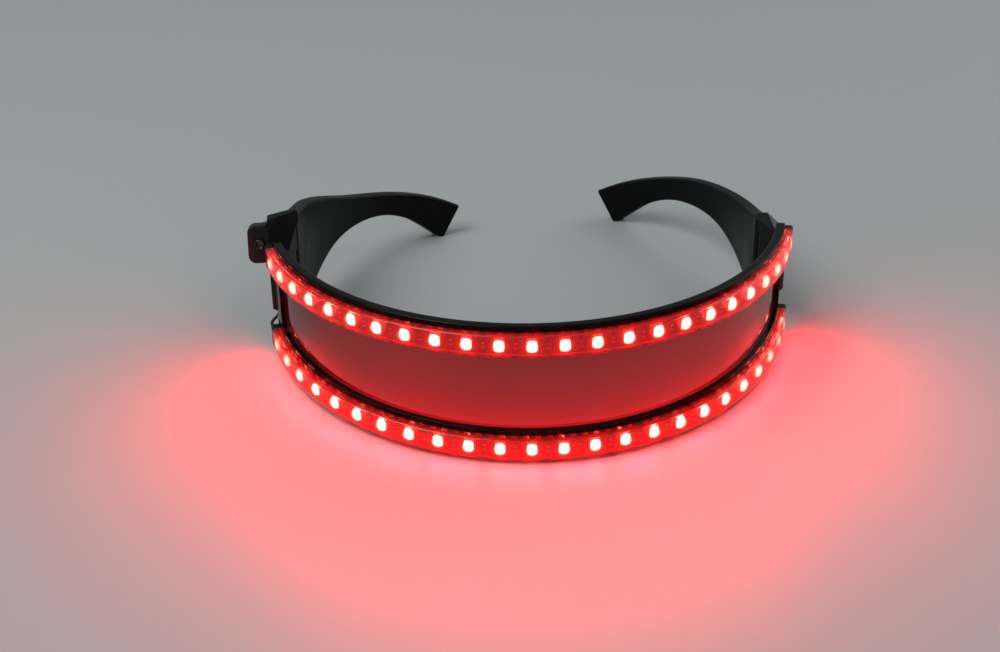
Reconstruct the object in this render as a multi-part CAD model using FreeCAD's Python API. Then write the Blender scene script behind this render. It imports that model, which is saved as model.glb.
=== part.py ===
import FreeCAD, Part
import math
import os

# Light up party glasses: a see-through visor with a lit strip along its top and bottom edge.
# Millimetres. X to the wearer's left, Y to the back of the head, Z up.
# The origin is the middle of the flat underside of the front frame, where the glasses stand.

Vec = FreeCAD.Vector
UP = Vec(0, 0, 1)
BACK = Vec(0, 1, 0)

# Light rows
row_radius = 75.2            # circle that the light-giving faces stand on
led_pitch = 8.333            # 120 to the metre
leds_per_row = 24
lower_row_height = 4.5
row_spacing = 31.4
row_lean = 2.8               # degrees: the rows draw together towards the temples
led_width = 2.8
led_height = 3.5
led_depth = 0.75
led_bevel = 0.3
resistor_width = 0.8
resistor_height = 1.6
resistor_depth = 0.45
strip_width = 4.8
strip_thickness = 0.25
strip_spare = 2.6            # bare strip past the last light, each end

# Clear sleeves round the strips
sleeve_height = 6.4
sleeve_back_wall = 0.5
sleeve_front_wall = 0.6
slot_height = 5.1
slot_headroom = 0.2          # between the lights and the sleeve's front wall
sleeve_edge = 0.7
plug_depth = 0.9
plug_cap = 2.4

# Front frame
lip_thickness = 1.3
rebate_depth = 1.3
rim_above_row = 4.8
rim_below_row = 4.8
upper_rim_below_row = 3.5
frame_spare = 1.0            # frame past the sleeve's end, along the curve
stile_width = 6.4            # upright between the window and the frame's end
window_corner = 4.5
rebate_overlap = 2.2
frame_edge = 0.5
frame_low_corner = 1.5       # outer corners of the frame, seen from the side
frame_high_corner = 4.0

# Lens
lens_thickness = 1.2
lens_clearance = 0.15

# Hinges, placed from the ends of the frame
hinge_inset = 4.95
hinge_setback = 5.8
pin_radius = 0.8
pin_head_radius = 1.5
pin_head_depth = 0.7
pin_fit = 0.05
pin_cover = 1.5              # closed block above the pin, which goes in from below
lug_radius = 2.6
lug_gap = 0.3
tongue_radius = 2.4
tongue_height = 12.2
tongue_middle = 25.6         # height of the tongue's middle
swing_gap = 0.5
stop_gap = 0.3
block_reach = 6.4            # how far the hinge block runs forward along the frame
cheek_reach = 1.25           # from the frame's end out to the wall that hides the hinge
cheek_top = 34.6
shoulder_cut = 0.9           # bevel on the outer top of the hinge
raised_block_top = 42.6      # the right block stands higher, beside the control box
raised_block_front = 38.4
raised_block_fall = 14.0     # degrees that its top falls outwards
raised_block_rise = 45.0     # degrees that its front leans back

# Temples
temple_thickness = 3.6
temple_straight = 15.9
temple_bend_radius = 61.2
temple_bend_angle = 74.0
temple_front_top = 35.4
temple_front_height = 21.2
temple_edge = 0.8
temple_reach = 82.0          # length of the side view, square to the middle of the bend
side_view_turn = 33.0
tip_angle = 66.2             # where round the bend the tip is cut
tip_lean = 29.0
right_rest_turn = 9.0        # the right temple lies a little folded

# Control box, beside the hinge at the wearer's right. Its own X runs inward from the case's inner
# side, Y along the box, Z up, from the middle of the cover's front.
box_offset = 3.3             # from the hinge's axis out to the case
box_lead = 3.2               # from the hinge's axis forward to the cover's front
box_middle_z = 34.35
box_slope = 15.5             # degrees that the box and the temples fall towards the back
cover_depth = 4.0
cover_width = 6.1
cover_overhang = 1.4         # how far the cover stands out past the case's outer side
cover_margin = 0.2           # and past its top and bottom
cover_corner = 2.2
cover_edge = 0.5
cover_wall = 0.8
cover_side_wall = 0.6
pocket_rim = 1.05            # from the case's top or bottom to the cover's pocket
pocket_corner = 1.4
case_length = 23.0
case_width = 7.1
case_height = 10.5
case_corner = 2.4
case_tail_turn = 87.0        # degrees that the case's outer side turns in at its back
case_wall = 0.9
case_fall = 10.0             # degrees that the case's top falls towards its back
button_inset = 3.3           # from the cover's outer side to the button's middle
button_radius = 1.5
button_fit = 0.1
button_proud = 0.6
button_travel = 0.5
button_play = 0.05
button_flange = 0.35
button_flange_depth = 0.6
button_edge = 0.25
button_dish = 0.3
stem_radius = 0.7
board_gap = 2.6              # from the cover's back to the board
board_thickness = 0.8
switch_width = 1.8
switch_height = 3.6
switch_depth = 2.4
plunger_height = 0.65
socket_x = 3.7
socket_length = 7.4
socket_thickness = 2.6
socket_depth = 4.7
socket_recess = 0.2
socket_wall = 0.3
socket_tongue = 0.7
socket_fit = 0.1
cell_thickness = 3.4
cell_height = 5.0
cell_length = 8.6
cell_edge = 0.5
cell_gap = 8.0               # from the board to the cell, past the socket
cell_lead_radius = 0.35
cell_lead_pitch = 0.84
cell_lead_drop = 0.15        # from the cell's top down to its leads

# Leads to the strips
lead_radius = 0.45
lead_fit = 0.05
lead_overlap = 1.0           # how far a lead lies on the end of its strip board
lead_exit = 0.9              # straight length past the plug
bend_share = 0.45            # how much of a straight run a bend may take
side_lead_inset = 1.6        # from the case's inner side to the lead up the hinge's cheek

# Sizes that follow
lower_row = lower_row_height
upper_row = lower_row_height + row_spacing
strip_seat = row_radius - led_depth - strip_thickness
sleeve_back = strip_seat - sleeve_back_wall
slot_front = row_radius + slot_headroom
sleeve_front = slot_front + sleeve_front_wall
frame_front = sleeve_back
lens_seat = frame_front - lip_thickness
frame_back = lens_seat - rebate_depth
rim_middle = (frame_front + frame_back) / 2
centre = Vec(0, rim_middle, 0)
row_front_y = rim_middle - row_radius
last_led = (leds_per_row - 1) * led_pitch / 2
strip_half = last_led + strip_spare
sleeve_half = strip_half + plug_depth
frame_half = sleeve_half + plug_cap + frame_spare
window_half = frame_half - stile_width
cover_outer = case_width + cover_overhang
cover_height = case_height + 2 * cover_margin
pocket_height = case_height - 2 * pocket_rim
button_x = cover_outer - button_inset
overrun = 20.0


def turn(arc):
    # degrees round the visor for a length along the light rows
    return math.degrees(arc / row_radius)


def on_curve(radius, angle, height=0):
    a = math.radians(angle)
    return centre + Vec(radius * math.sin(a), -radius * math.cos(a), height)


frame_end = on_curve(frame_front, turn(frame_half))
hinge_x = frame_end.x - hinge_inset
hinge_y = frame_end.y + hinge_setback
cheek_x = frame_end.x + cheek_reach
block_base = temple_front_top - temple_front_height


def from_axis(point):
    return Vec(point.x, point.y - centre.y, 0).Length


def turned(point):
    return math.degrees(math.atan2(point.x, centre.y - point.y))


def row_height(row, lean, y):
    return row + (y - row_front_y) * math.tan(math.radians(lean))


def half_space(point, normal):
    reach = 4 * row_radius
    return Part.makeCylinder(reach, reach, point, normal)


def above(height, lean):
    a = math.radians(lean)
    return half_space(Vec(0, row_front_y, height), Vec(0, -math.sin(a), math.cos(a)))


def below(height, lean):
    a = math.radians(lean)
    return half_space(Vec(0, row_front_y, height), Vec(0, math.sin(a), -math.cos(a)))


def ring_part(inner, outer, low, high, start, end, middle=centre):
    # part of a ring about an upright axis, from angle start to angle end, front is 0
    base = Vec(middle.x, middle.y, low)
    solid = Part.makeCylinder(outer, high - low, base, UP, end - start)
    solid = solid.cut(Part.makeCylinder(inner, high - low, base, UP))
    solid.rotate(middle, UP, start - 90)
    return solid


def curved_band(inner, outer, low, low_lean, high, high_lean, start, end):
    # upright curved sheet whose lower and upper edges lean with the light rows
    solid = ring_part(inner, outer, low - overrun, high + overrun, start, end)
    return solid.cut(below(low, low_lean)).cut(above(high, high_lean))


def mirrored(shape):
    return shape.mirror(Vec(0, 0, 0), Vec(1, 0, 0))


# Light strips, sleeves and plugs


def row_band(row, lean, inner, outer, height, half):
    return curved_band(inner, outer, row - height / 2, lean, row + height / 2, lean, -half, half)


def sleeve(row, lean):
    half = turn(sleeve_half)
    body = row_band(row, lean, sleeve_back, sleeve_front, sleeve_height, half)
    front = [e for e in body.Edges
             if all(abs(from_axis(v.Point) - sleeve_front) < strip_thickness for v in e.Vertexes)
             and e.Length > row_radius]
    body = body.makeFillet(sleeve_edge, front)
    slot = row_band(row, lean, strip_seat, slot_front, slot_height, half + turn(plug_cap))
    return body.cut(slot)


def end_plugs(row, lean):
    plugs = []
    inner_end = turn(strip_half)
    outer_end = turn(sleeve_half)
    cap_end = turn(sleeve_half + plug_cap)
    for side in (-1, 1):
        stem = curved_band(strip_seat, slot_front, row - slot_height / 2, lean, row + slot_height / 2, lean,
                           min(side * inner_end, side * outer_end), max(side * inner_end, side * outer_end))
        cap = curved_band(sleeve_back, sleeve_front, row - sleeve_height / 2, lean,
                          row + sleeve_height / 2, lean,
                          min(side * outer_end, side * cap_end), max(side * outer_end, side * cap_end))
        rims = [e for e in cap.Edges
                if all(abs(from_axis(v.Point) - sleeve_front) < strip_thickness for v in e.Vertexes)
                and abs(turned(e.CenterOfMass)) > (outer_end + cap_end) / 2 - turn(plug_depth)]
        cap = cap.makeFillet(sleeve_edge, rims)
        plugs.append(stem.fuse(cap).removeSplitter())
    return plugs


def strip_board(row, lean):
    return row_band(row, lean, strip_seat, strip_seat + strip_thickness, strip_width, turn(strip_half))


def on_strip(width, depth, height, arc, row, lean, bevel=0):
    # a small part standing on the strip board at a length along the row
    part = Part.makeBox(width, depth, height, Vec(-width / 2, -depth, -height / 2))
    if bevel:
        part = part.makeChamfer(bevel, [e for e in part.Edges if e.CenterOfMass.y < -depth + bevel / 2])
    angle = turn(arc)
    place = on_curve(strip_seat + strip_thickness, angle)
    part.rotate(Vec(0, 0, 0), UP, angle)
    part.translate(Vec(place.x, place.y, row_height(row, lean, place.y)))
    return part


def led_group(row, lean):
    arcs = [(i - (leds_per_row - 1) / 2) * led_pitch for i in range(leds_per_row)]
    return [on_strip(led_width, led_depth, led_height, arc, row, lean, led_bevel) for arc in arcs]


def resistor_group(row, lean):
    arcs = [(i - (leds_per_row - 2) / 2) * led_pitch for i in range(leds_per_row - 1)]
    return [on_strip(resistor_width, resistor_depth, resistor_height, arc, row, lean) for arc in arcs]


# Front frame and lens

window_low = lower_row + rim_above_row
window_high = upper_row - upper_rim_below_row


def visor_wedge(half_arc, low, high, low_corner, high_corner):
    # rounded outline of the visor's height and sides, as a solid whose sides run out from its axis
    half = turn(half_arc)
    near = [on_curve(frame_back / 2, side * half) for side in (-1, 1)]
    far = [on_curve(2 * frame_front, side * half) for side in (-1, 1)]
    front = -2 * frame_front
    back = centre.y + frame_back / 2
    points = [Vec(near[0].x, back, 0), near[0], far[0], Vec(far[0].x, front, 0), Vec(far[1].x, front, 0),
              far[1], near[1], Vec(near[1].x, back, 0)]
    wedge = Part.Face(Part.makePolygon(points + points[:1])).extrude(UP * (window_high + 2 * overrun))
    wedge.translate(UP * -overrun)
    wedge = wedge.cut(below(low, row_lean)).cut(above(high, -row_lean))
    for corner, upper in ((low_corner, False), (high_corner, True)):
        corners = [e for e in wedge.Edges
                   if abs(abs(turned(e.CenterOfMass)) - half) < 1 and e.Length > frame_front
                   and abs(e.tangentAt(e.FirstParameter).z) < math.sin(math.radians(2 * row_lean))
                   and (e.CenterOfMass.z > (low + high) / 2) == upper]
        wedge = wedge.makeFillet(corner, corners)
    return wedge


def window_wedge(grow):
    corner = window_corner + grow
    return visor_wedge(window_half + grow, window_low - grow, window_high + grow, corner, corner)


def block_form(height):
    front = on_curve(lens_seat, turn(frame_half - block_reach))
    corner = Vec(cheek_x, frame_end.y + cheek_reach, 0)
    back_y = hinge_y + lug_radius + swing_gap - stop_gap
    points = [front, on_curve(frame_front, turn(frame_half - block_reach)), frame_end, corner,
              Vec(cheek_x, back_y, 0), Vec(hinge_x, back_y, 0), Vec(hinge_x, hinge_y, 0),
              Vec(hinge_x - lug_radius, hinge_y, 0)]
    block = Part.Face(Part.makePolygon(points + points[:1])).extrude(UP * height)
    block = block.fuse(Part.makeCylinder(lug_radius, height, Vec(hinge_x, hinge_y, 0), UP))
    block.translate(UP * block_base)
    return block.removeSplitter()


def hinge_block():
    over_cheek = Part.makeBox(overrun, overrun, overrun,
                              Vec(hinge_x + lug_radius, hinge_y - overrun / 2, cheek_top))
    bevel = half_space(Vec(hinge_x + lug_radius - shoulder_cut, hinge_y, temple_front_top), Vec(1, 0, 1))
    return block_form(temple_front_height).cut([over_cheek, bevel])


def raised_hinge_block():
    # its top falls outwards over the control box, and its front leans back from the rim
    fall = math.radians(raised_block_fall)
    rise = math.radians(raised_block_rise)
    over_top = half_space(Vec(hinge_x - lug_radius, hinge_y, raised_block_top),
                          Vec(math.sin(fall), 0, math.cos(fall)))
    over_front = half_space(Vec(hinge_x, hinge_y - lug_radius, raised_block_front),
                            Vec(0, -math.sin(rise), math.cos(rise)))
    return block_form(raised_block_top - block_base).cut([over_top, over_front])


def tongue_gap():
    # open to the inner side and the back, closed towards the outside
    height = tongue_height + 2 * lug_gap
    low = tongue_middle - height / 2
    near = hinge_y - tongue_radius - swing_gap
    outer = hinge_x + tongue_radius + swing_gap
    return Part.makeBox(overrun, overrun, height, Vec(outer - overrun, near, low))


def frame_band():
    # curved band with rounded ends
    half = turn(frame_half + overrun)
    ring = ring_part(frame_back, frame_front, -overrun, upper_row + overrun, -half, half)
    outline = visor_wedge(frame_half, lower_row - rim_below_row, upper_row + rim_above_row,
                          frame_low_corner, frame_high_corner)
    return ring.common(outline)


def front_frame():
    frame = frame_band()
    rims = [e for e in frame.Edges if e.Length > row_radius and e.CenterOfMass.z > upper_row]
    frame = frame.makeFillet(frame_edge, rims)
    right_block = mirrored(raised_hinge_block()).cut([seated(case_room()), seated(cover_room())])
    frame = frame.fuse([hinge_block(), right_block]).cut(window_wedge(0))
    frame = frame.cut(window_wedge(rebate_overlap).common(
        Part.makeCylinder(lens_seat, 2 * overrun + upper_row, centre - UP * overrun, UP)))
    for cutter in (tongue_gap(), hinge_pin()):
        frame = frame.cut([cutter, mirrored(cutter)])
    passages = [cable(path, lead_fit) for path in (upper_lead_path(), lower_lead_path())]
    return frame.cut([below(0, 0)] + passages).removeSplitter()


def lens():
    half = turn(frame_half)
    sheet = ring_part(lens_seat - lens_thickness, lens_seat, -overrun, upper_row + overrun, -half, half)
    return sheet.common(window_wedge(rebate_overlap - lens_clearance))


# Temples and hinge pins


def side_point(along, height):
    # a point of the temple's side view, drawn square to the middle of its bend
    a = math.radians(side_view_turn)
    return Vec(hinge_x - along * math.sin(a), hinge_y + along * math.cos(a), height)


def side_prism(edges):
    a = math.radians(side_view_turn)
    across = Vec(math.cos(a), math.sin(a), 0)
    face = Part.Face(Part.Wire(Part.__sortEdges__(edges)))
    face.translate(across * -temple_reach)
    return face.extrude(across * (2 * temple_reach))


def spline(points):
    curve = Part.BSplineCurve()
    curve.interpolate(points)
    return curve.toShape()


def temple_plan(height):
    # thin upright band: straight from the hinge, then one long bend behind the head
    inner = temple_bend_radius - temple_thickness / 2
    outer = temple_bend_radius + temple_thickness / 2
    bend = Vec(hinge_x - temple_bend_radius, hinge_y + temple_straight, 0)
    front = hinge_y + lug_radius + swing_gap
    straight = Part.makeBox(temple_thickness, bend.y - front, height,
                            Vec(hinge_x - temple_thickness / 2, front, 0))
    curved = ring_part(inner, outer, 0, height, 90, 90 + temple_bend_angle, bend)
    return straight.fuse(curved).removeSplitter()


# places on the side view as shares of the temple's reach and of its height at the front
top_shares = ((0.0, 1.025), (0.29, 0.778), (0.58, 0.655), (0.80, 0.504), (1.0, 0.268), (1.07, 0.113))
bottom_shares = ((0.20, 0.266), (0.30, 0.319), (0.41, 0.386), (0.55, 0.415), (0.69, 0.374),
                 (0.81, 0.234), (0.90, 0.042), (0.955, -0.07))
# the right temple stands higher beside the control box
raised_top_shares = ((0.0, 1.185), (0.08, 1.122), (0.16, 1.060), (0.24, 0.985), (0.34, 0.886),
                     (0.43, 0.793), (0.53, 0.700), (0.65, 0.612), (0.80, 0.504), (1.0, 0.268), (1.07, 0.113))


def shared_points(shares):
    return [side_point(along * temple_reach, height * temple_front_top) for along, height in shares]


def temple_side(raised):
    top = shared_points(raised_top_shares if raised else top_shares)
    bottom = [side_point(0, block_base)] + shared_points(bottom_shares)
    front = Part.makeLine(bottom[0], top[0])
    return side_prism([front, spline(top), Part.makeLine(top[-1], bottom[-1]), spline(bottom)])


def tip_cut():
    a = math.radians(tip_angle)
    lean = math.radians(tip_lean)
    bend = Vec(hinge_x - temple_bend_radius, hinge_y + temple_straight, 0)
    tip = bend + Vec(math.cos(a), math.sin(a), 0) * temple_bend_radius
    tip.z = sleeve_height
    along = Vec(-math.sin(a), math.cos(a), 0)
    return half_space(tip, along * math.cos(lean) - UP * math.sin(lean))


def temple_body(raised):
    body = temple_plan(2 * temple_front_top).common(temple_side(raised)).cut(tip_cut())
    body = body.removeSplitter()
    # upper and lower edges, along the faces that the side view's curves made
    curved = [f for f in body.Faces if f.Surface.TypeId == "Part::GeomSurfaceOfExtrusion"]
    edges = [e for f in curved for e in f.Edges if e.Length > 2 * temple_thickness]
    return body.makeFillet(temple_edge, edges)


def temple_tongue():
    low = tongue_middle - tongue_height / 2
    barrel = Part.makeCylinder(tongue_radius, tongue_height, Vec(hinge_x, hinge_y, low), UP)
    arm = Part.makeBox(temple_thickness, lug_radius + swing_gap + temple_thickness, tongue_height,
                       Vec(hinge_x - temple_thickness / 2, hinge_y, low))
    bore = Part.makeCylinder(pin_radius + pin_fit, tongue_height, Vec(hinge_x, hinge_y, low), UP)
    return barrel.fuse(arm), bore


def temple(raised=False):
    tongue, bore = temple_tongue()
    return temple_body(raised).fuse(tongue).cut(bore).cut(below(0, 0)).removeSplitter()


def hinge_pin():
    foot = Vec(hinge_x, hinge_y, block_base)
    shaft = Part.makeCylinder(pin_radius, temple_front_height - pin_cover, foot, UP)
    return shaft.fuse(Part.makeCylinder(pin_head_radius, pin_head_depth, foot, UP)).removeSplitter()


# Control box


def seated(shape):
    # from the box's own directions to the glasses
    shape.rotate(Vec(0, 0, 0), Vec(1, 0, 0), -box_slope)
    shape.translate(Vec(-hinge_x - box_offset, hinge_y - box_lead, box_middle_z))
    return shape


def centred_box(x, y, width, depth, height):
    return Part.makeBox(width, depth, height, Vec(x, y, -height / 2))


def rod(radius, x, start, end, z=0):
    return Part.makeCylinder(radius, end - start, Vec(x, start, z), BACK)


def case_form(inset):
    # flat inner side against the hinge block, tail drawn in to the temple
    inner_x = -inset
    outer_x = -case_width + inset
    back = cover_depth + case_length - inset
    draw_in = case_width - 2 * inset - case_wall
    tail_turn = math.radians(case_tail_turn)
    radius = draw_in / (1 - math.cos(tail_turn))
    tail = back - radius * math.sin(tail_turn)
    waist = Vec(outer_x + radius * (1 - math.cos(tail_turn / 2)), tail + radius * math.sin(tail_turn / 2), 0)
    end = Vec(outer_x + draw_in, back, 0)
    corners = [Vec(inner_x, back, 0), Vec(inner_x, cover_depth, 0), Vec(outer_x, cover_depth, 0),
               Vec(outer_x, tail, 0)]
    edges = Part.makePolygon([end] + corners).Edges + [Part.Arc(corners[-1], waist, end).toShape()]
    height = case_height - 2 * inset
    form = Part.Face(Part.Wire(edges)).extrude(UP * height)
    form.translate(UP * (-height / 2))
    return form.cut(over_case(inset))


def over_case(inset):
    a = math.radians(case_fall)
    return half_space(Vec(0, cover_depth, case_height / 2 - inset), Vec(0, math.sin(a), math.cos(a)))


def long_outer(edge):
    chord = edge.Vertexes[-1].Point - edge.Vertexes[0].Point
    return abs(chord.y) > abs(chord.z) and edge.CenterOfMass.x < -case_wall * 3 / 2


def case_room():
    return centred_box(-case_width, cover_depth, case_width, case_length, case_height)


def cover_room():
    return centred_box(-cover_outer, 0, cover_width, cover_depth, cover_height)


def control_case():
    form = case_form(0)
    form = form.makeFillet(case_corner, [e for e in form.Edges if long_outer(e)])
    side = cover_outer - cover_width
    front_wall = centred_box(-side, cover_depth, side, case_wall, case_height)
    case = form.cut(case_form(case_wall)).fuse(front_wall)
    case = seated(case.cut(socket_form(socket_fit)).removeSplitter())
    return case.cut(cable(lower_lead_path(), lead_fit))


def rounded_block(low, width, depth, height, corner):
    block = Part.makeBox(width, depth, height, low)
    return block.makeFillet(corner, [e for e in block.Edges if abs(e.tangentAt(0).y) > math.cos(1)])


def control_cover():
    # front cap of the box, which carries the button and closes the open end of the case
    low = Vec(-cover_outer, 0, -cover_height / 2)
    cover = rounded_block(low, cover_width, cover_depth, cover_height, cover_corner)
    cover = cover.makeFillet(cover_edge, [e for e in cover.Edges if e.CenterOfMass.y < cover_edge / 4])
    pocket_width = case_width - cover_outer + cover_width - cover_side_wall
    pocket = rounded_block(Vec(-case_width, cover_wall, -pocket_height / 2), pocket_width, cover_depth,
                           pocket_height, pocket_corner)
    hole = rod(button_radius + button_fit, -button_x, -cover_wall, 2 * cover_wall)
    return seated(cover.cut([pocket, hole])).cut(cable(upper_lead_path(), lead_fit))


def power_button():
    # round push button with a dished face, held by a flange behind the cover's wall
    cap = rod(button_radius, -button_x, -button_proud, cover_wall + button_play)
    cap = cap.makeFillet(button_edge, [e for e in cap.Edges if e.CenterOfMass.y < -button_proud / 2])
    dish_edge = button_radius - 2 * button_edge
    dish_radius = (dish_edge ** 2 + button_dish ** 2) / (2 * button_dish)
    dish = Part.makeSphere(dish_radius, Vec(-button_x, button_dish - button_proud - dish_radius, 0))
    flange_start = cover_wall + button_play
    flange_end = flange_start + button_flange_depth
    flange = rod(button_radius + button_flange, -button_x, flange_start, flange_end)
    stem = rod(stem_radius, -button_x, flange_end, plunger_start - button_travel - button_play)
    return cap.cut(dish).fuse([flange, stem]).removeSplitter()


board_start = cover_depth + board_gap
board_end = board_start + board_thickness
plunger_start = board_start - switch_depth - plunger_height


def control_board():
    width = case_width - 2 * case_wall
    height = case_height - 2 * case_wall
    board = centred_box(-case_width + case_wall, board_start, width, board_thickness, height)
    return board.cut(over_case(case_wall))


def push_switch():
    body = centred_box(-button_x - switch_width / 2, board_start - switch_depth, switch_width, switch_depth,
                       switch_height)
    plunger = rod(stem_radius, -button_x, plunger_start, board_start - switch_depth)
    return body.fuse(plunger).removeSplitter()


def socket_form(grow=0):
    # grown, it is the hole for the socket through the case's floor
    low = Vec(-socket_x - socket_thickness / 2 - grow, board_end, socket_recess - case_height / 2 - 3 * grow)
    return Part.makeBox(socket_thickness + 2 * grow, socket_length + grow, socket_depth, low)


def charge_socket():
    # shell open at the underside of the case, with a contact tongue inside
    low = Vec(-socket_x - socket_thickness / 2 + socket_wall, board_end + socket_wall,
              socket_recess - case_height / 2)
    width = socket_thickness - 2 * socket_wall
    length = socket_length - 2 * socket_wall
    room = Part.makeBox(width, length, socket_depth - socket_wall, low)
    tongue = Part.makeBox(socket_tongue, length - 2 * socket_tongue, socket_depth - socket_tongue,
                          Vec(-socket_x - socket_tongue / 2, low.y + socket_tongue, low.z + socket_tongue))
    return socket_form().cut(room).fuse(tongue).removeSplitter()


def battery_cell():
    low = Vec(-case_wall - cell_thickness, board_end + cell_gap, case_wall - case_height / 2)
    cell = Part.makeBox(cell_thickness, cell_length, cell_height, low)
    return cell.makeFillet(cell_edge, [e for e in cell.Edges if abs(e.tangentAt(0).z) > math.cos(1)])


def battery_leads():
    # the two leads run side by side above the charging socket
    x = -case_wall - cell_thickness / 2
    z = case_wall - case_height / 2 + cell_height - cell_lead_drop - cell_lead_radius
    return [rod(cell_lead_radius, x + side * cell_lead_pitch / 2, board_end, board_end + cell_gap, z)
            for side in (-1, 1)]


# Leads from the board to the strips


def bend_at(corner, before, after):
    # arc that touches both straight runs, as large as they leave room for
    back = before - corner
    ahead = after - corner
    run = min(back.Length, ahead.Length) * bend_share
    back.normalize()
    ahead.normalize()
    half = back.getAngle(ahead) / 2
    radius = run * math.tan(half)
    middle = back + ahead
    middle.normalize()
    return corner + back * run, corner + middle * (radius / math.sin(half) - radius), corner + ahead * run


def cable(points, grow=0):
    # round lead along its path, or the passage for it
    edges = []
    last = points[0]
    for before, corner, after in zip(points, points[1:], points[2:]):
        start, waist, end = bend_at(corner, before, after)
        edges += [Part.makeLine(last, start), Part.Arc(start, waist, end).toShape()]
        last = end
    path = Part.Wire(edges + [Part.makeLine(last, points[-1])])
    ring = Part.Wire(Part.makeCircle(lead_radius + grow, points[0], points[1] - points[0]))
    return path.makePipeShell([ring], True, False)


def box_point(x, y, z):
    return seated(Part.Vertex(x, y, z)).Point


def strip_exit(row, lean):
    # the lead lies on the end of the strip board and leaves through the plug
    depth = strip_seat + strip_thickness + lead_radius + lead_fit
    points = []
    for arc in (strip_half - lead_overlap, sleeve_half + plug_cap + lead_exit):
        place = on_curve(depth, -turn(arc))
        points.append(Vec(place.x, place.y, row_height(row, lean, place.y)))
    return points


def upper_lead_path():
    x = -cover_outer + cover_width - cover_side_wall - lead_radius - lead_fit
    z = -case_height / 2 + case_wall + socket_thickness
    inside = [box_point(x, cover_depth / 2, z), box_point(x, board_start, z)]
    return strip_exit(upper_row, -row_lean) + inside


def lower_lead_path():
    # round the end of the frame, up the cheek of the hinge and through the floor of the case
    start, foot = strip_exit(lower_row, row_lean)
    z = -case_height / 2 + case_wall + 4 * lead_radius
    inside = box_point(-side_lead_inset, cover_depth + board_gap / 2, z)
    run = foot - start
    run.normalize()
    round_end = foot + run * (inside.y - foot.y - 2 * lead_exit)
    rise = Vec(inside.x, inside.y, foot.z + 2 * lead_exit)
    return [start, round_end, rise, inside, box_point(-side_lead_inset, board_start, z)]


def open_plugs(row, lean, path):
    passage = cable(path, lead_fit)
    return [plug.cut(passage) for plug in end_plugs(row, lean)]


# The pieces


def swung(shape):
    shape.rotate(Vec(-hinge_x, hinge_y, 0), UP, -right_rest_turn)
    return shape


def pieces():
    pin = hinge_pin()
    rows = (("upper", upper_row, -row_lean, upper_lead_path()),
            ("lower", lower_row, row_lean, lower_lead_path()))
    nodes = {
        "front_frame": front_frame(),
        "lens": lens(),
        "left_temple": temple(),
        "right_temple": swung(mirrored(temple(raised=True))),
        "left_hinge_pin": pin,
        "right_hinge_pin": mirrored(pin),
        "control_case": control_case(),
        "control_cover": control_cover(),
        "power_button": seated(power_button()),
        "push_switch": seated(push_switch()),
        "control_board": seated(control_board()),
        "charge_socket": seated(charge_socket()),
        "battery_cell": seated(battery_cell()),
        "battery_leads": seated(Part.makeCompound(battery_leads())),
    }
    for name, row, lean, path in rows:
        nodes[name + "_sleeve"] = sleeve(row, lean)
        nodes[name + "_end_plugs"] = Part.makeCompound(open_plugs(row, lean, path))
        nodes[name + "_strip_board"] = strip_board(row, lean)
        nodes[name + "_leds"] = Part.makeCompound(led_group(row, lean))
        nodes[name + "_resistors"] = Part.makeCompound(resistor_group(row, lean))
        nodes[name + "_lead"] = cable(path)
    return nodes


def main():
    os.makedirs("parts", exist_ok=True)
    for name, shape in pieces().items():
        shape.exportStep("parts/" + name + ".step")
        print(name, len(shape.Solids), shape.isValid())


main()
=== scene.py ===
import bpy
import bmesh
import math
from mathutils import Matrix, Vector


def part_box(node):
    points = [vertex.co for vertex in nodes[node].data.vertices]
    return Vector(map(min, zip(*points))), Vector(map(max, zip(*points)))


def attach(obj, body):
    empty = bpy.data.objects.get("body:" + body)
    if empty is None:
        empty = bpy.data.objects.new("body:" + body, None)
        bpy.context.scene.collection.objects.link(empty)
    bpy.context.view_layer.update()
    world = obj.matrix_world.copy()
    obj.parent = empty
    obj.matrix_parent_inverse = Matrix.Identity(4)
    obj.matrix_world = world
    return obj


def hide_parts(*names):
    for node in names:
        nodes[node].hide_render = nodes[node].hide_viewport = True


# light up party glasses: CAD frame dressed for the render, metres, X to the wearer's left
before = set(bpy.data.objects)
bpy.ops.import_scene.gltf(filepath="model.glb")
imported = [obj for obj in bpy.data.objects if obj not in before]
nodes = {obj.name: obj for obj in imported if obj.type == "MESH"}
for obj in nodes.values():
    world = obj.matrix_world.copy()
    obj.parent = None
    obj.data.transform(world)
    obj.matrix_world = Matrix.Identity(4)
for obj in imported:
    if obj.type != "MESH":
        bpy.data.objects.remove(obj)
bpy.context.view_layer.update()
print("frame loaded:", len(nodes), "nodes")

mm = 0.001


# colours and materials

def hexColor(code):
    # sRGB hex to linear, opaque
    parts = [int(code[i:i + 2], 16) / 255 for i in (1, 3, 5)]
    return [p / 12.92 if p <= 0.04045 else ((p + 0.055) / 1.055) ** 2.4 for p in parts] + [1.0]


def addNode(tree, kind, settings, inputs, output=0):
    # one node: its settings, then each input as a value or as the output that feeds it
    node = tree.nodes.new(kind)
    # stops: (place, hex) pairs of a colour ramp
    for i, (place, code) in enumerate(settings.pop("stops", ())):
        ramp = node.color_ramp.elements
        stop = ramp[i] if i < len(ramp) else ramp.new(1.0)
        stop.position, stop.color = place, hexColor(code)
    for key, value in settings.items():
        setattr(node, key, value)
    for key, value in inputs.items():
        if isinstance(value, bpy.types.NodeSocket):
            tree.links.new(value, node.inputs[key])
        else:
            node.inputs[key].default_value = value
    return node.outputs[output]


def newMaterial(name, surface):
    material = bpy.data.materials.new(name)
    material.use_nodes = True
    tree = material.node_tree
    shader = tree.nodes["Principled BSDF"]
    for key, value in surface.items():
        shader.inputs[key].default_value = value
    coords = addNode(tree, "ShaderNodeTexCoord", {}, {}, "Object")
    return material, tree, shader, coords


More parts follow.
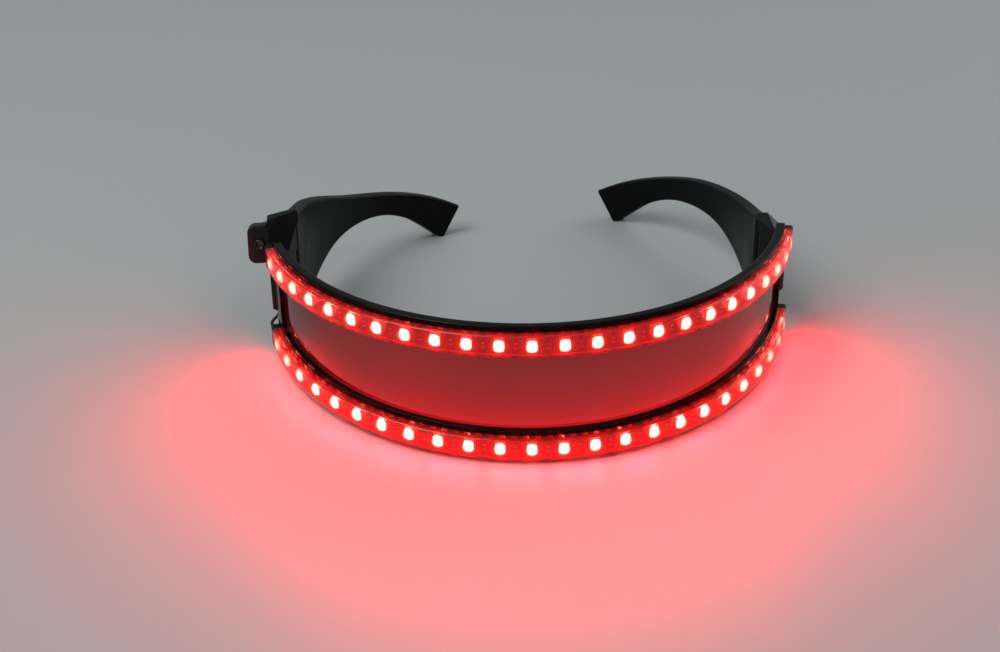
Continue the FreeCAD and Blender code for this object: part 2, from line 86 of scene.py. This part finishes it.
def feed(tree, shader, **sources):
    # links to the shader, a socket's name written without its spaces
    for key, source in sources.items():
        socket = next(s for s in shader.inputs if s.name.replace(" ", "") == key)
        tree.links.new(source, socket)


def grainScale(size):
    # noise scale for spots of this size in millimetres, object space is metres
    return 1 / (size * mm)


mouldSkin = {
    "patches": (0.35, 0.65),        # part of the noise over which a clean patch turns into a worn one
    "patchDetail": 3.0,
    "grainDepth": 0.02,             # millimetres
    "edgeSamples": 6,
}


def mouldedPlastic(name, look):
    # spark-eroded mould texture breaks up the gloss, handling leaves patches a little paler and
    # duller; the real grain is under a tenth of a millimetre, drawn coarser here so that it shows
    material, tree, shader, coords = newMaterial(name, {
        "IOR": look["ior"], "Specular IOR Level": look["shine"]})
    grain = addNode(tree, "ShaderNodeTexNoise", {}, {
        "Vector": coords, "Scale": grainScale(look["grain"])})
    smear = addNode(tree, "ShaderNodeTexNoise", {}, {
        "Vector": coords, "Scale": grainScale(look["smear"]), "Detail": mouldSkin["patchDetail"]})
    clean, worn = mouldSkin["patches"]
    low, high = look["roughness"]
    rough = addNode(tree, "ShaderNodeMapRange", {}, {
        "Value": smear, "From Min": clean, "From Max": worn, "To Min": low, "To Max": high})
    # edges come out of the mould slightly rounded
    edge = addNode(tree, "ShaderNodeBevel", {"samples": mouldSkin["edgeSamples"]}, {
        "Radius": look["edge"] * mm})
    bump = addNode(tree, "ShaderNodeBump", {}, {
        "Height": grain, "Normal": edge, "Strength": look["bump"],
        "Distance": mouldSkin["grainDepth"] * mm})
    tint = addNode(tree, "ShaderNodeValToRGB", {
        "stops": ((clean, look["color"]), (worn, look["colorWorn"]))}, {"Fac": smear})
    feed(tree, shader, BaseColor=tint, Roughness=rough, Normal=bump)
    return material


# grain, smear and edge are sizes in millimetres
plasticLooks = {
    # injection-moulded ABS, polished mould: deep black with sharp highlights
    "glossBlackAbs": {
        "color": "#060607", "colorWorn": "#0b0b0d", "ior": 1.54, "shine": 0.08,
        "roughness": (0.06, 0.14), "grain": 0.5, "smear": 9, "bump": 0.1, "edge": 0.35},
    # injection-moulded nylon, fine texture: black with a faint cool sheen
    "satinBlackNylon": {
        "color": "#060709", "colorWorn": "#0b0c0e", "ior": 1.53, "shine": 0.09,
        "roughness": (0.34, 0.46), "grain": 0.4, "smear": 14, "bump": 0.2, "edge": 0.5},
    # textured ABS of the control box: matt black
    "texturedBlackAbs": {
        "color": "#080809", "colorWorn": "#0d0d0f", "ior": 1.54, "shine": 0.22,
        "roughness": (0.4, 0.52), "grain": 0.3, "smear": 6, "bump": 0.3, "edge": 0.3},
    # moulded silicone plugs: black and soft, dust dulls them
    "blackSiliconeRubber": {
        "color": "#0a0a0a", "colorWorn": "#141313", "ior": 1.41, "shine": 0.3,
        "roughness": (0.35, 0.5), "grain": 0.6, "smear": 3, "bump": 0.2, "edge": 0.3},
    # extruded PVC jacket of the leads: black, with a dull gleam
    "blackPvc": {
        "color": "#0a0a0a", "colorWorn": "#121212", "ior": 1.53, "shine": 0.4,
        "roughness": (0.38, 0.5), "grain": 0.3, "smear": 4, "bump": 0.15, "edge": 0.05},
    # polished ABS of the button: black, with a small sharp highlight
    "polishedBlackAbs": {
        "color": "#080808", "colorWorn": "#0f0d0d", "ior": 1.54, "shine": 0.5,
        "roughness": (0.12, 0.2), "grain": 0.3, "smear": 2, "bump": 0.06, "edge": 0.1},
    # liquid crystal polymer of the tactile switch: dark grey and matt
    "switchPolymer": {
        "color": "#1b1b1c", "colorWorn": "#242425", "ior": 1.6, "shine": 0.5,
        "roughness": (0.45, 0.55), "grain": 0.2, "smear": 1, "bump": 0.1, "edge": 0.05},
    # fired alumina body of the resistors under its black glaze, drawn with the same nodes
    "resistorCeramic": {
        "color": "#0c0c0e", "colorWorn": "#18181a", "ior": 1.76, "shine": 0.5,
        "roughness": (0.3, 0.4), "grain": 0.1, "smear": 0.5, "bump": 0.05, "edge": 0.05},
}
plastics = {name: mouldedPlastic(name, look) for name, look in plasticLooks.items()}

# both rows of lights, in millimetres and as in the CAD
strip = {
    "radius": 75.2, "pitch": 8.333, "count": 24,                # the pitch is measured at this radius
    "middleY": 72.4, "frontY": -2.8,                            # Y of the curve's middle and front
    "boardTop": 74.45,                                          # radius of the boards' outer faces
    "rows": {"upper": (35.9, -2.8), "lower": (4.5, 2.8)},       # height at the front, lean in degrees
}


def paintedGlowPolycarbonate(look):
    # moulded polycarbonate, smoked dark: clear and glossy; the strips' red light in it is painted on as
    # emission,
    # # brightest along the bottom, and this painted glow thins out towards the temples
    low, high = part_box("lens")
    material, tree, shader, coords = newMaterial("paintedGlowPolycarbonate", {
        "IOR": look["ior"], "Transmission Weight": look["transmission"],
        "Base Color": hexColor(look["color"])})
    split = addNode(tree, "ShaderNodeSeparateXYZ", {}, {"Vector": coords}, "Z").node
    rise = addNode(tree, "ShaderNodeMapRange", {}, {
        "Value": split.outputs["Z"], "From Min": low[2], "From Max": high[2]})
    full, dim = look["fade"]
    ends = addNode(tree, "ShaderNodeMapRange", {}, {
        "Value": split.outputs["Y"], "From Min": full * mm, "From Max": dim * mm,
        "To Min": look["frontGlow"], "To Max": look["endGlow"]})
    smears = addNode(tree, "ShaderNodeTexNoise", {}, {
        "Vector": coords, "Scale": grainScale(look["smear"]), "Detail": look["smearDetail"]})
    clean, wiped = look["roughness"]
    rough = addNode(tree, "ShaderNodeMapRange", {}, {"Value": smears, "To Min": clean, "To Max": wiped})
    light = addNode(tree, "ShaderNodeValToRGB", {"stops": look["glow"]}, {"Fac": rise})
    feed(tree, shader, EmissionColor=light, EmissionStrength=ends, Roughness=rough)
    return material


lensLook = {
    "color": "#2e2525", "ior": 1.585, "transmission": 1.0, "roughness": (0.01, 0.09),
    "smear": 12, "smearDetail": 4.0,            # wiping marks, millimetres across
    "frontGlow": 1.0, "endGlow": 0.12,
    "fade": (8, 34),                            # millimetres of Y over which one turns into the other
    # painted glow from the bottom edge to the top one
    "glow": [(0.0, "#c40d14"), (0.2, "#94080b"), (0.5, "#7a0607"), (0.85, "#6c0506"), (1.0, "#7c0608")],
}
lensMaterial = paintedGlowPolycarbonate(lensLook)


def paintedGlowSilicone(row, look):
    # extruded silicone, clear when it's off: the strips' red in it is painted, as a red tint and as
    # emission, brightest over each light
    material, tree, shader, coords = newMaterial("paintedGlowSilicone" + row.capitalize(), {
        "IOR": look["ior"], "Transmission Weight": look["transmission"],
        "Base Color": hexColor(look["color"])})
    height, lean = strip["rows"][row]
    values = {}
    for axis in "xyz":
        values[axis] = addNode(tree, "ShaderNodeSeparateXYZ", {}, {"Vector": coords}, axis.upper())
    steps = (
        # millimetres along the row to the nearest light
        ("ahead", "SUBTRACT", strip["middleY"] * mm, "y"), ("angle", "ARCTAN2", "x", "ahead"),
        ("turns", "DIVIDE", "angle", strip["pitch"] / strip["radius"]),
        ("wave", "PINGPONG", "turns", 0.5), ("gap", "SUBTRACT", 0.5, "wave"),
        ("along", "MULTIPLY", "gap", strip["pitch"]),
        # and across it, up or down from the leaning line of lights
        ("back", "SUBTRACT", "y", strip["frontY"] * mm),
        ("lift", "MULTIPLY", "back", math.tan(math.radians(lean))), ("level", "SUBTRACT", "z", "lift"),
        ("over", "SUBTRACT", "level", height * mm), ("across", "DIVIDE", "over", mm),
        ("alongSquare", "MULTIPLY", "along", "along"), ("acrossSquare", "MULTIPLY", "across", "across"),
        ("square", "ADD", "alongSquare", "acrossSquare"), ("away", "SQRT", "square", 0.0),
        ("fade", "DIVIDE", "away", look["reach"]),
    )
    for name, operation, *inputs in steps:
        values[name] = addNode(tree, "ShaderNodeMath", {"operation": operation}, {
            i: values.get(v, v) for i, v in enumerate(inputs)})
    streaks = addNode(tree, "ShaderNodeTexNoise", {}, {
        "Vector": coords, "Scale": grainScale(look["streak"])})
    low, high = look["roughness"]
    rough = addNode(tree, "ShaderNodeMapRange", {}, {"Value": streaks, "To Min": low, "To Max": high})
    light = addNode(tree, "ShaderNodeValToRGB", {"stops": look["glowStops"]}, {"Fac": values["fade"]})
    # a painted hot spot over each light, standing in for the light the silicone scatters, which is what
    # shows from the side
    core, rim = look["spotSize"]
    spot = addNode(tree, "ShaderNodeMapRange", {}, {
        "Value": values["away"], "From Min": core, "From Max": rim,
        "To Min": look["spot"], "To Max": look["glow"]})
    feed(tree, shader, EmissionColor=light, EmissionStrength=spot, Roughness=rough)
    return material


sleeveLook = {
    # the red base colour is painted light of the strips; the silicone itself is clear
    "color": "#ff5850", "ior": 1.41, "transmission": 0.9, "roughness": (0.1, 0.22),
    "streak": 1.5,                  # dull marks of the extruder, millimetres
    "glow": 0.22, "spot": 1.0,      # strength between the lights and over them
    "spotSize": (0.7, 1.7),         # millimetres from the light
    "reach": 5.0,                   # millimetres from a light to the dimmest place
    "glowStops": [(0.14, "#ffd8a8"), (0.36, "#ff3a2c"), (0.55, "#d8070e"), (1.0, "#8c0206")],
}
sleeveMaterials = {row: paintedGlowSilicone(row, sleeveLook) for row in strip["rows"]}


lightSkin = {"ripple": 0.3, "bump": 0.05, "depth": 0.01}        # ripple and depth in millimetres


def litMaterial(name, look):
    # gel or polymer round a lit chip, its skin very slightly rippled
    material, tree, shader, coords = newMaterial(name, {
        "IOR": look["ior"], "Base Color": hexColor(look["color"]), "Roughness": look["roughness"],
        "Emission Color": hexColor(look["glow"]), "Emission Strength": look["strength"]})
    ripple = addNode(tree, "ShaderNodeTexNoise", {}, {
        "Vector": coords, "Scale": grainScale(lightSkin["ripple"])})
    bump = addNode(tree, "ShaderNodeBump", {}, {
        "Height": ripple, "Strength": lightSkin["bump"], "Distance": lightSkin["depth"] * mm})
    feed(tree, shader, Normal=bump)
    return material


lightLooks = {
    # clear gel poured over the chip: so bright when lit that it looks white-hot
    "redLightGel": {
        "color": "#ffe0d0", "ior": 1.5, "roughness": 0.2, "glow": "#fff4ee", "strength": 42.0},
    # moulded white polymer of the package: glows warm round the gel
    "lightPackagePolymer": {
        "color": "#efe6e0", "ior": 1.5, "roughness": 0.4, "glow": "#ff6a50", "strength": 5.0},
}
lightMaterials = {name: litMaterial(name, look) for name, look in lightLooks.items()}


def noisyMetal(name, look):
    # metal keeps the default IOR, fine scratches spread the highlight (drawn coarser than real)
    material, tree, shader, coords = newMaterial(name, {
        "Metallic": 1.0, "Base Color": hexColor(look["color"])})
    marks = addNode(tree, "ShaderNodeTexNoise", {}, {
        "Vector": coords, "Scale": grainScale(look["grain"]), "Detail": look["detail"]})
    low, high = look["roughness"]
    rough = addNode(tree, "ShaderNodeMapRange", {}, {"Value": marks, "To Min": low, "To Max": high})
    feed(tree, shader, Roughness=rough)
    return material


metalLooks = {
    # nickel-plated steel of the pins and the socket: bright, slightly yellow grey
    "platedSteel": {"color": "#b9b8b6", "grain": 0.3, "detail": 4.0, "roughness": (0.18, 0.35)},
    # tinned copper of the resistors' caps: pale and uneven
    "tinnedCopper": {"color": "#cfcac2", "grain": 0.2, "detail": 4.0, "roughness": (0.25, 0.5)},
    # laminated foil of the cell's pouch: dull silver
    "pouchFoil": {"color": "#bfc1c4", "grain": 0.8, "detail": 4.0, "roughness": (0.3, 0.45)},
}
metals = {name: noisyMetal(name, look) for name, look in metalLooks.items()}


def maskedBoard(name, look):
    # printed circuit board: solder mask over copper, tracks show as slightly lighter lines
    material, tree, shader, coords = newMaterial(name, {
        "IOR": look["ior"], "Roughness": look["roughness"]})
    mask = hexColor(look["color"])
    tracks = addNode(tree, "ShaderNodeTexBrick", {}, {
        "Vector": coords, "Scale": grainScale(look["track"]), "Color1": mask, "Color2": mask,
        "Mortar": hexColor(look["trackColor"]), "Mortar Size": look["trackShare"]})
    feed(tree, shader, BaseColor=tracks)
    return material


# track is the height of four rows in millimetres, trackShare half a line's width as a share of it
boardLooks = {
    "blackStripMask": {
        "color": "#141212", "trackColor": "#1f1b18", "track": 4.0, "trackShare": 0.04,
        "ior": 1.55, "roughness": 0.4},
    "greenBoardMask": {
        "color": "#0e5a2c", "trackColor": "#1c7a40", "track": 1.6, "trackShare": 0.04,
        "ior": 1.55, "roughness": 0.35},
}
boards = {name: maskedBoard(name, look) for name, look in boardLooks.items()}
print("materials made:", len(bpy.data.materials))


def dress(material, *names):
    for name in names:
        mesh = nodes[name].data
        mesh.materials.clear()
        mesh.materials.append(material)
        for face in mesh.polygons:
            face.material_index = 0


dress(plastics["glossBlackAbs"], "front_frame")
dress(plastics["satinBlackNylon"], "left_temple", "right_temple")
dress(plastics["texturedBlackAbs"], "control_case", "control_cover")
dress(plastics["polishedBlackAbs"], "power_button")
dress(plastics["switchPolymer"], "push_switch")
dress(plastics["blackSiliconeRubber"], "upper_end_plugs", "lower_end_plugs")
dress(plastics["blackPvc"], "upper_lead", "lower_lead", "battery_leads")
dress(lensMaterial, "lens")
for row, material in sleeveMaterials.items():
    dress(material, row + "_sleeve")
dress(boards["blackStripMask"], "upper_strip_board", "lower_strip_board")
dress(boards["greenBoardMask"], "control_board")
dress(metals["platedSteel"], "left_hinge_pin", "right_hinge_pin", "charge_socket")
dress(metals["pouchFoil"], "battery_cell")


# lights and resistors on the strips

def rowPlace(row, arc, lift=0.0):
    # where a part stands on the strip: point on the board's face, turned to face outward
    height, lean = strip["rows"][row]
    turn = arc / strip["radius"]
    radius = strip["boardTop"] + lift
    y = strip["middleY"] - radius * math.cos(turn)
    z = height + (y - strip["frontY"]) * math.tan(math.radians(lean))
    point = Vector((radius * math.sin(turn), y, z)) * mm
    return Matrix.Translation(point) @ Matrix.Rotation(turn, 4, "Z")


block = {"cornerSteps": 4, "taperFrom": 0.8}        # the top tapers in from this share of the depth


def roundedBlock(mesh, size, corner, place, slot, inset=0.0):
    # block standing off the board towards -Y with rounded corners, added to a bmesh
    width, depth, height = [value * mm for value in size]
    r = corner * mm
    ring = []
    for cx, cz, first in ((1, 1, 0), (-1, 1, 90), (-1, -1, 180), (1, -1, 270)):
        for k in range(block["cornerSteps"] + 1):
            a = math.radians(first + 90 * k / block["cornerSteps"])
            x = cx * (width / 2 - r) + r * math.cos(a)
            z = cz * (height / 2 - r) + r * math.sin(a)
            ring.append((x, z))
    levels = [(0.0, 1.0), (depth * block["taperFrom"], 1.0), (depth, 1.0 - inset)]
    loops = [[mesh.verts.new(place @ Vector((x * grow, -level, z * grow))) for x, z in ring]
             for level, grow in levels]
    count = len(ring)
    for low, high in zip(loops, loops[1:]):
        for i in range(count):
            j = (i + 1) % count
            face = mesh.faces.new((low[i], low[j], high[j], high[i]))
            face.material_index = slot
            face.smooth = True
    for loop, flip in ((loops[0], True), (loops[-1], False)):
        face = mesh.faces.new(list(reversed(loop)) if flip else loop)
        face.material_index = slot


def finishPiece(name, mesh, materials, body):
    data = bpy.data.meshes.new(name)
    bmesh.ops.recalc_face_normals(mesh, faces=mesh.faces)
    mesh.to_mesh(data)
    mesh.free()
    for material in materials:
        data.materials.append(material)
    piece = bpy.data.objects.new(name, data)
    bpy.context.scene.collection.objects.link(piece)
    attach(piece, body)
    return piece


# sizes in millimetres: along the row, off the board, up
lightSize = {
    "package": {"size": (2.8, 0.44, 3.5), "corner": 0.6, "inset": 0.06},
    "gel": {"size": (2.6, 0.3, 3.2), "corner": 1.1, "inset": 0.1},
}


def lightRow(row):
    package, gel = lightSize["package"], lightSize["gel"]
    lift = package["size"][1]       # the gel stands on the package
    mesh = bmesh.new()
    for i in range(strip["count"]):
        arc = (i - (strip["count"] - 1) / 2) * strip["pitch"]
        roundedBlock(mesh, package["size"], package["corner"], rowPlace(row, arc), 0, package["inset"])
        roundedBlock(mesh, gel["size"], gel["corner"], rowPlace(row, arc, lift), 1, gel["inset"])
    looks = [lightMaterials["lightPackagePolymer"], lightMaterials["redLightGel"]]
    piece = finishPiece(row + "Lights", mesh, looks, "visor")
    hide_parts(row + "_leds")


resistorSize = {
    "body": {"size": (0.8, 0.42, 1.0), "corner": 0.05},
    "cap": {"size": (0.8, 0.45, 0.32), "corner": 0.08},
    "capHeight": 0.64,              # a cap's middle above or below the body's
}


def resistorRow(row):
    body, cap = resistorSize["body"], resistorSize["cap"]
    mesh = bmesh.new()
    for i in range(strip["count"] - 1):
        arc = (i - (strip["count"] - 2) / 2) * strip["pitch"]
        middle = rowPlace(row, arc)
        roundedBlock(mesh, body["size"], body["corner"], middle, 0)
        for side in (-1, 1):
            shift = Vector((0, 0, side * resistorSize["capHeight"])) * mm
            end = middle @ Matrix.Translation(shift)
            roundedBlock(mesh, cap["size"], cap["corner"], end, 1)
    looks = [plastics["resistorCeramic"], metals["tinnedCopper"]]
    piece = finishPiece(row + "Resistors", mesh, looks, "visor")
    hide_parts(row + "_resistors")


for row in strip["rows"]:
    lightRow(row)
    resistorRow(row)
print("strips dressed")


# floor, light and camera

stage = {
    "floorColor": "#a0a4a4", "floorRoughness": 0.45, "floorIor": 1.45,
    "floorHalf": 3.0,               # metres from its middle to its edge
    "worldColor": "#e6ebec", "worldStrength": 0.4,
    "aim": (0, 0.05, 0),            # what the panels face: the table between the temples
    "panels": {"key": {"place": (-0.5, -0.15, 0.85), "size": 0.6, "power": 5.6},
               "fill": {"place": (0.8, 0.5, 0.6), "size": 0.7, "power": 2.8}},
    # what the lit strips throw on the table: lamps just before each sleeve, turned outwards
    "glow": {"count": 12, "size": (0.014, 0.003), "power": 0.026, "color": "#ff1018",
             "lift": 2.4,                               # millimetres off the board
             "tilt": {"upper": 0, "lower": 30}},        # degrees down
}


def newLamp(name, place, size, power, color="#ffffff"):
    lamp = bpy.data.lights.new(name, "AREA")
    lamp.shape = "RECTANGLE"
    lamp.size, lamp.size_y = size
    lamp.energy = power
    lamp.color = hexColor(color)[:3]
    holder = bpy.data.objects.new(name, lamp)
    holder.matrix_world = place
    bpy.context.scene.collection.objects.link(holder)
    return holder


def softPanel(name, look):
    place = Vector(look["place"])
    facing = (Vector(stage["aim"]) - place).to_track_quat("-Z", "Y").to_matrix().to_4x4()
    newLamp(name, Matrix.Translation(place) @ facing, (look["size"], look["size"]), look["power"])


def rowGlow(row, look):
    step = strip["pitch"] * strip["count"] / look["count"]
    for i in range(look["count"]):
        place = rowPlace(row, (i - (look["count"] - 1) / 2) * step, look["lift"])
        facing = Matrix.Rotation(math.radians(look["tilt"][row] - 90), 4, "X")
        lamp = newLamp(row + "Glow", place @ facing, look["size"], look["power"], look["color"])
        lamp.visible_camera = False


def mattTable():
    # painted board: pale grey with a broad soft sheen
    mesh = bmesh.new()
    bmesh.ops.create_grid(mesh, x_segments=1, y_segments=1, size=stage["floorHalf"])
    data = bpy.data.meshes.new("tableTop")
    mesh.to_mesh(data)
    mesh.free()
    floor = bpy.data.objects.new("tableTop", data)
    bpy.context.scene.collection.objects.link(floor)
    paint = newMaterial("paintedTable", {
        "Roughness": stage["floorRoughness"], "IOR": stage["floorIor"],
        "Base Color": hexColor(stage["floorColor"])})[0]
    data.materials.append(paint)


mattTable()
for name, look in stage["panels"].items():
    softPanel(name + "Panel", look)
for row in strip["rows"]:
    rowGlow(row, stage["glow"])

world = bpy.data.worlds.new("studio")
bpy.context.scene.world = world
world.use_nodes = True
sky = world.node_tree.nodes["Background"]
sky.inputs["Color"].default_value = hexColor(stage["worldColor"])
sky.inputs["Strength"].default_value = stage["worldStrength"]

# as the photograph was taken: 61 mm lens, 36 cm in front of the visor and 26 cm above the table
cameraView = {
    "place": (-32.61, -363.16, 258.70),         # millimetres
    "right": (0.99801, -0.06235, -0.00948), "up": (0.04017, 0.51262, 0.85768),
    "forward": (0.04862, 0.85635, -0.51410),
    "lens": 61.2, "sensor": 36.0,               # millimetres
    "nearest": 0.01,                            # metres
}
cameraData = bpy.data.cameras.new("photoCamera")
cameraData.lens = cameraView["lens"]
cameraData.sensor_width = cameraView["sensor"]
cameraData.clip_start = cameraView["nearest"]
camera = bpy.data.objects.new("photoCamera", cameraData)
bpy.context.scene.collection.objects.link(camera)
axes = Matrix((cameraView["right"], cameraView["up"], [-v for v in cameraView["forward"]])).transposed()
camera.matrix_world = Matrix.Translation(Vector(cameraView["place"]) * mm) @ axes.to_4x4()
bpy.context.scene.camera = camera
bpy.context.scene.view_settings.view_transform = "Standard"

print("scene ready")
